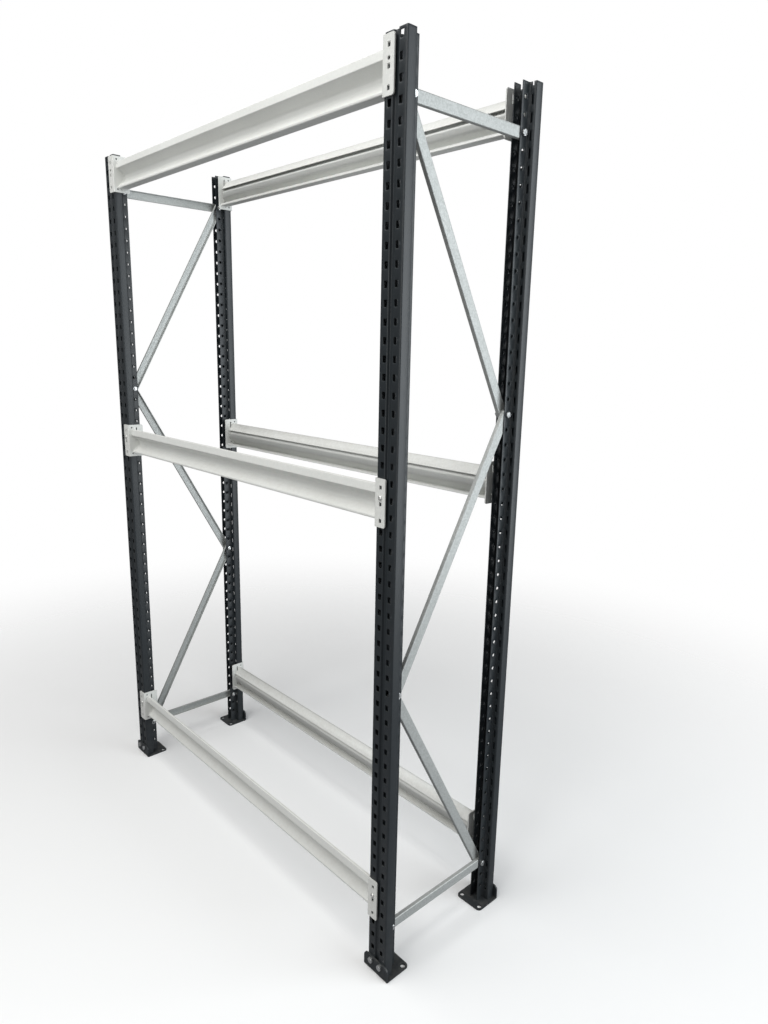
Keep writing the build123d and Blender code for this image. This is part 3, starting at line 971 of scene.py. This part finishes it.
lockPinLook = {
    "headRadius": 0.0055, "headHeight": 0.0036, "headEdge": 0.0003, "domeFrom": 0.0006, "domeSteps": 7,
    "shankRadius": 0.0035, "tipChamfer": 0.0012, "dimple": 0.0015, "dimpleDepth": 0.0010,
    # shares of the dimple's radius and depth, from its rim inwards
    "dimpleProfile": [(1.0, 0.0), (0.8, 0.7), (0.4, 1.0)],
    "steps": 32}


def pinMesh(look, shankLength):
    # head along +Z from its seat, shank along -Z
    head, rim, edge = look["headHeight"], look["headRadius"], look["headEdge"]
    shank, chamfer = look["shankRadius"], look["tipChamfer"]
    dimple, depth, start = look["dimple"], look["dimpleDepth"], look["domeFrom"]
    rings = [circle(poleRadius, -shankLength), circle(shank - chamfer, -shankLength),
             circle(shank, -shankLength + chamfer), circle(shank, 0.0),
             circle(rim - edge, 0.0), circle(rim, edge)]
    for i in range(look["domeSteps"]):
        angle = math.radians(90 * i / look["domeSteps"])
        rings.append(circle(dimple + (rim - dimple) * math.cos(angle),
                            start + (head - start) * math.sin(angle)))
    rings += [circle(dimple * share, head - depth * fall) for share, fall in look["dimpleProfile"]]
    rings.append(circle(poleRadius, head - depth))
    return lathe(rings, look["steps"], "pin")


def buildPins(look):
    head = look["headHeight"]
    for level in ("middle", "bottom"):
        for depth, width in cornerNames:
            node = f"lock_pin_{level}_{depth}_{width}"
            low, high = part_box(node)
            mesh = pinMesh(look, high.y - low.y - head)
            outward = -1 if depth == "front" else 1
            seatY = low.y + head if depth == "front" else high.y - head
            turn = Matrix.Rotation(math.radians(90) * -outward, 4, "X")
            middle = (low + high) / 2
            mesh.transform(Matrix.Translation((middle.x, seatY, middle.z)) @ turn)
            piece = link(mesh, pieceName(node))
            paint(piece, pinZinc)
            place(piece, node, "pin_steel", node)


buildPins(lockPinLook)
print("lock pins made")


# floor, light and camera

studio = {
    "floorRadius": 3.4, "floorClear": 0.6, "floorGone": 0.9,     # where the floor thins out and ends
    "seenFloor": (0.90, 0.90, 0.90), "litFloor": (0.27, 0.27, 0.28), "floorRoughness": 0.85,
    "surround": 0.20, "lightsAim": (0, 0, 1.0),
    # name: place, size, power, colour
    "lights": {"skyPanel": ((0.1, -1.6, 4.2), 3.2, 130.0, (1.0, 1.0, 0.99)),
               "sidePanel": ((3.6, 1.6, 1.5), 3.6, 150.0, (0.92, 0.97, 1.0)),
               "frontPanel": ((0.9, -3.6, 1.6), 2.4, 40.0, (1.0, 1.0, 0.98))}}
viewPoint = {"place": (1.6683, -1.1711, 1.4469), "yaw": 47.09, "pitch": -12.788, "roll": 1.185,
             "lens": 25.2, "sensor": 36.0}


def seenOrLit(tree, lit, seen):
    # one shader for the eye, another for the light that is thrown back
    path = tree.nodes.new("ShaderNodeLightPath")
    inputs = {0: path.outputs["Is Camera Ray"], 1: lit.outputs[0], 2: seen.outputs[0]}
    return addNode(tree, "ShaderNodeMixShader", inputs).outputs[0]


def paleFloor(look):
    # a pale floor that thins out away from the rack, and throws less back on it
    material, tree, shader = newMaterial("paleFloor")
    shader.inputs["Base Color"].default_value = (*look["seenFloor"], 1)
    shader.inputs["Roughness"].default_value = look["floorRoughness"]
    darker = addNode(tree, "ShaderNodeBsdfDiffuse", {"Color": (*look["litFloor"], 1)})
    seen = seenOrLit(tree, darker, shader)
    reach = addNode(tree, "ShaderNodeVectorMath", {0: objectPlace(tree)}, operation="LENGTH")
    end = look["floorRadius"] * look["floorGone"]
    gone = rampNode(tree, reach.outputs["Value"], look["floorClear"], end)
    clear = tree.nodes.new("ShaderNodeBsdfTransparent")
    faded = addNode(tree, "ShaderNodeMixShader", {0: gone, 1: seen, 2: clear.outputs[0]})
    output = next(n for n in tree.nodes if n.type == "OUTPUT_MATERIAL")
    tree.links.new(faded.outputs[0], output.inputs["Surface"])
    return material


def buildFloor(look):
    mesh = bmesh.new()
    bmesh.ops.create_circle(mesh, cap_ends=True, segments=64, radius=look["floorRadius"])
    disc = bpy.data.meshes.new("floor")
    mesh.to_mesh(disc)
    mesh.free()
    floor = link(disc, "floor")
    paint(floor, paleFloor(look))


def buildLights(look):
    for name, (spot, size, power, colour) in look["lights"].items():
        light = bpy.data.lights.new(name, "AREA")
        light.energy = power
        light.color = colour
        light.size = size
        lamp = link(light, name)
        lamp.location = spot
        lamp.rotation_euler = (Vector(look["lightsAim"]) - Vector(spot)).to_track_quat("-Z", "Y").to_euler()
    world = bpy.data.worlds.new("studioWorld")
    bpy.context.scene.world = world
    world.use_nodes = True
    tree = world.node_tree
    background = next(n for n in tree.nodes if n.type == "BACKGROUND")
    background.inputs["Color"].default_value = (look["surround"],) * 3 + (1,)
    white = addNode(tree, "ShaderNodeBackground", {"Color": (1.0, 1.0, 1.0, 1.0)})
    output = next(n for n in tree.nodes if n.type == "OUTPUT_WORLD")
    tree.links.new(seenOrLit(tree, background, white), output.inputs["Surface"])
    bpy.context.scene.view_settings.view_transform = "Standard"


def buildCamera(look):
    yaw, pitch, roll = (math.radians(look[key]) for key in ("yaw", "pitch", "roll"))
    forward = Vector((-math.sin(yaw) * math.cos(pitch), math.cos(yaw) * math.cos(pitch), math.sin(pitch)))
    side = forward.cross(Vector((0, 0, 1))).normalized()
    up = side.cross(forward)
    right = side * math.cos(roll) + up * math.sin(roll)
    above = up * math.cos(roll) - side * math.sin(roll)
    camera = link(bpy.data.cameras.new("camera"), "camera")
    camera.data.lens = look["lens"]
    camera.data.sensor_width = look["sensor"]
    turn = Matrix((right, above, -forward)).transposed().to_4x4()
    camera.matrix_world = Matrix.Translation(look["place"]) @ turn
    bpy.context.scene.camera = camera


buildFloor(studio)
buildLights(studio)
buildCamera(viewPoint)
print("studio made")
